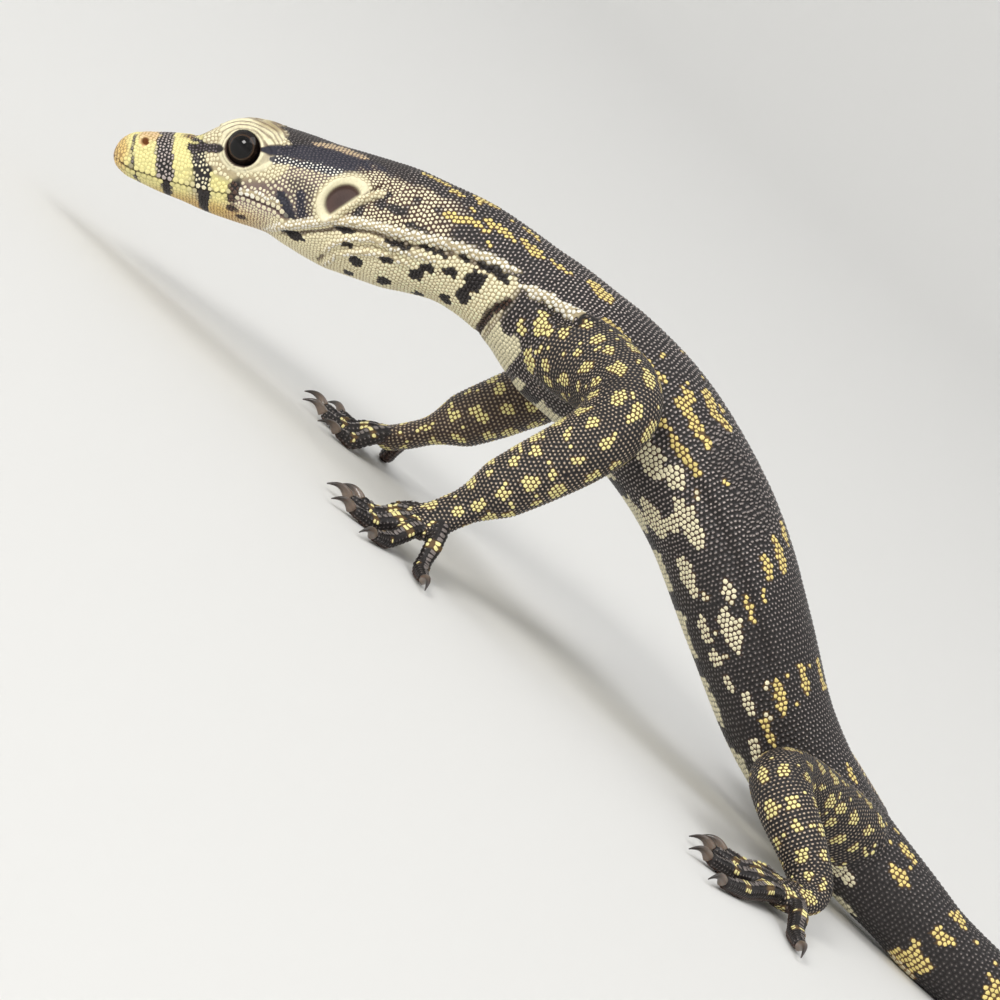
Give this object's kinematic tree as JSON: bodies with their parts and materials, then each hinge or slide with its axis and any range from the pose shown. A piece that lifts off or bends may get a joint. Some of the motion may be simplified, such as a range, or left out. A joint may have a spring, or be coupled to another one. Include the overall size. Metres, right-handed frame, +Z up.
{
  "type": "water monitor lizard model",
  "caption": "Life-size still model of a young water monitor lizard, standing low on its feet with the neck arched down and a long tail laid in a curve.",
  "frame": {"origin": "on the floor, under the middle of the box round the whole animal", "axes": "+X towards the tail's tip (the head points along -X), +Y to the animal's right, +Z up"},
  "size_m": [0.2962, 0.0918, 0.0361],
  "materials": {
    "dark_skin": "dark brown-black scales with yellow and cream spots, satin",
    "head_skin": "yellow and cream scales crossed by dark bands, satin",
    "throat_skin": "cream-yellow scales with black blotches, satin",
    "claw_horn": "grey-brown horn, slightly translucent",
    "eye": "black-brown with a thin golden ring, polished"
  },
  "bodies": {
    "root": {"head": "head_skin", "lower_jaw": "throat_skin", "neck": "dark_skin", "torso": "dark_skin", "hips": "dark_skin", "tail_base": "dark_skin", "tail_middle": "dark_skin", "tail_end": "dark_skin", "tail_tip": "dark_skin", "upper_arm_left": "dark_skin", "forearm_left": "dark_skin", "hand_left": "dark_skin", "upper_arm_right": "dark_skin", "forearm_right": "dark_skin", "hand_right": "dark_skin", "thigh_left": "dark_skin", "shank_left": "dark_skin", "foot_left": "dark_skin", "thigh_right": "dark_skin", "shank_right": "dark_skin", "foot_right": "dark_skin", "eye_left": "eye", "eye_right": "eye", "claw_hand_left_1": "claw_horn", "claw_hand_left_2": "claw_horn", "claw_hand_left_3": "claw_horn", "claw_hand_left_4": "claw_horn", "claw_hand_left_5": "claw_horn", "claw_hand_right_1": "claw_horn", "claw_hand_right_2": "claw_horn", "claw_hand_right_3": "claw_horn", "claw_hand_right_4": "claw_horn", "claw_hand_right_5": "claw_horn", "claw_foot_left_1": "claw_horn", "claw_foot_left_2": "claw_horn", "claw_foot_left_3": "claw_horn", "claw_foot_left_4": "claw_horn", "claw_foot_left_5": "claw_horn", "claw_foot_right_1": "claw_horn", "claw_foot_right_2": "claw_horn", "claw_foot_right_3": "claw_horn", "claw_foot_right_4": "claw_horn", "claw_foot_right_5": "claw_horn"}
  },
  "joints": []
}
